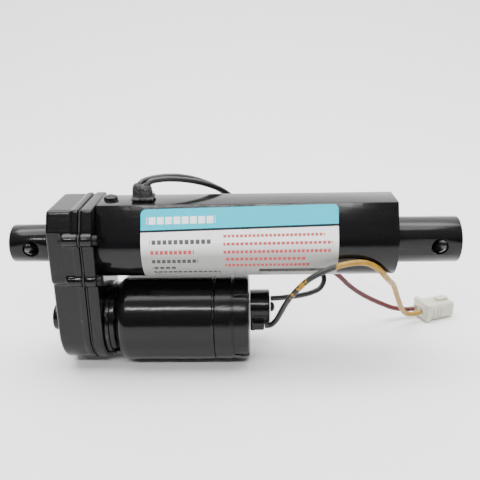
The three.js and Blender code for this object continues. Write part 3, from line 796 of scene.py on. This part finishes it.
def make_relief(material):
    low, high = RELIEF_LOW, RELIEF_HIGH
    slab = box_part("slab", (low.x + 0.6, low.y + 1, low.z), (high.x, high.y - 0.8, low.z + 1.5))
    soften(slab, 0.6, 3)
    lobes = []
    for x, y, r, top in RELIEF_LOBES:
        lobe = revolve("lobe", [(low.z + 0.4, 0), (low.z + 0.4, r + 1.0), (low.z + 1.4, r + 0.3),
                                (top - 0.6, r - 0.1), (top + 0.5, r - 0.8), (top + 0.9, r - 1.7),
                                (top + 0.9, 0)], 0, 0, 64)
        lobes.append(stand_up(lobe, x, y, 0))
    join(slab, *lobes)
    cast(slab, 0.22, 2)
    lumps = bpy.data.textures.new("lumps", "CLOUDS")
    lumps.noise_scale, lumps.noise_depth = LUMP_SIZE, 3
    mod = slab.modifiers.new("lumps", "DISPLACE")
    mod.texture, mod.strength, mod.mid_level = lumps, LUMP_HEIGHT, 0.5
    apply_modifiers(slab)
    place(slab, "lead_grommet", "housing", "relief_rubber", material, "strain_relief")


def make_screws(material):
    for i, (y, z) in enumerate(SCREW_PLACES):
        node = f"housing_screw_{i + 1}"
        low, high = corner(node)
        x = BASE_HIGH.x + 0.3
        head = revolve("screw", [(low.x, 0), (low.x, 1.4), (x, 1.4), (x, 2.6), (x + 1.8, 2.6),
                                 (x + 2.25, 2.3), (high.x, 1.5), (high.x, 0)], z, y, 48)
        cut(head, box_part("slot", (x + 1.6, y - 0.4, z - 3), (x + 4, y + 0.4, z + 3)))
        place(head, f"tie_screw_{i + 1}", "housing", "screw_steel", material, node)


# ---------- carried-over CAD nodes ----------


def dress_inner_parts(materials):
    slots = {row["node"]: row["material_slot"] for row in frame["record"]["subparts"]}
    for name, obj in nodes.items():
        slot = slots.get(name, "black_paint")
        obj.data.materials.clear()
        obj.data.materials.append(materials.get(slot, materials["black_paint"]))


# how bare each oversprayed lead is: (x0, x1, stops) along X, in metres
YELLOW_BARE = (0.115, 0.155, ((0.0, 0.0), (0.24, 0.05), (0.32, 0.45), (0.5, 0.45), (0.58, 0.08),
                              (0.82, 0.15), (0.94, 1.0)))
RED_BARE = (0.085, 0.135, ((0.0, 0.0), (0.6, 0.2), (1.0, 1.0)))


def make_materials():
    """The materials by slot name, with rough_paint for castings and the motor's ends."""
    return {
        "black_paint": black_paint("gloss_black"),
        "rough_paint": black_paint("sprayed_black", 0.9, 0.8),
        "seal_rubber": plain_plastic("seal_rubber", (0.02, 0.02, 0.02), 0.75),
        "relief_rubber": overspray_rubber(),
        "screw_steel": plain_metal("screw_steel", (0.022, 0.022, 0.023), 0.3),
        "nylon": nylon(),
        "label_film": label_film(),
        "gear_steel": plain_metal("gear_steel", (0.5, 0.5, 0.51), 0.3),
        "brass": plain_metal("brass", (0.66, 0.48, 0.2), 0.28),
        "switch_plastic": plain_plastic("switch_plastic", (0.03, 0.03, 0.04), 0.5),
        "ferrite": plain_plastic("ferrite", (0.05, 0.05, 0.055), 0.8),
        "core_iron": plain_metal("core_iron", (0.2, 0.2, 0.21), 0.5, (2200.0, 20.0, 20.0)),
        "copper": plain_metal("copper", (0.72, 0.34, 0.2), 0.3),
        "carbon": plain_plastic("carbon", (0.025, 0.025, 0.025), 0.7),
        "yellow_wire": wire("yellow_vinyl", (0.34, 0.19, 0.006), (0.24, 0.12, 0.004), YELLOW_BARE),
        "black_wire": wire("black_vinyl", (0.01, 0.01, 0.01), (0.02, 0.02, 0.02)),
        "red_wire": wire("red_vinyl", (0.12, 0.016, 0.02), (0.065, 0.011, 0.013), RED_BARE),
    }


def make_leads(materials, connector):
    on_lead = [connector, "front_terminal", "rear_terminal"]
    for name, route, far_end, pieces in (("yellow", YELLOW_ROUTE, "connector", on_lead),
                                         ("red", RED_ROUTE, "connector", on_lead),
                                         ("black", BLACK_ROUTE, "object", [])):
        slot = f"{name}_wire"
        make_lead(slot, f"{name}_lead", route, materials[slot])


def main():
    make_camera()
    make_stage()
    make_lights()
    materials = make_materials()
    paint, rough_paint = materials["black_paint"], materials["rough_paint"]
    dress_inner_parts(materials)
    make_leads(materials, make_connector(materials["nylon"]))
    make_tube("rear_tube", "rear_mount_tube", "housing", REAR_LOW.x, REAR_HIGH.x, REAR_R, REAR_WALL, 0, paint)
    make_tube("rod_tube", "extension_tube", "rod", ROD_LOW.x, ROD_HIGH.x, ROD_R, ROD_WALL,
              ROD_HIGH.x - PIN_EDGE, paint)
    make_housing(paint, rough_paint)
    make_cover(paint, rough_paint)
    make_label(materials["label_film"])
    make_motor(paint, rough_paint)
    make_boss(rough_paint)
    make_relief(materials["relief_rubber"])
    make_screws(materials["screw_steel"])


main()
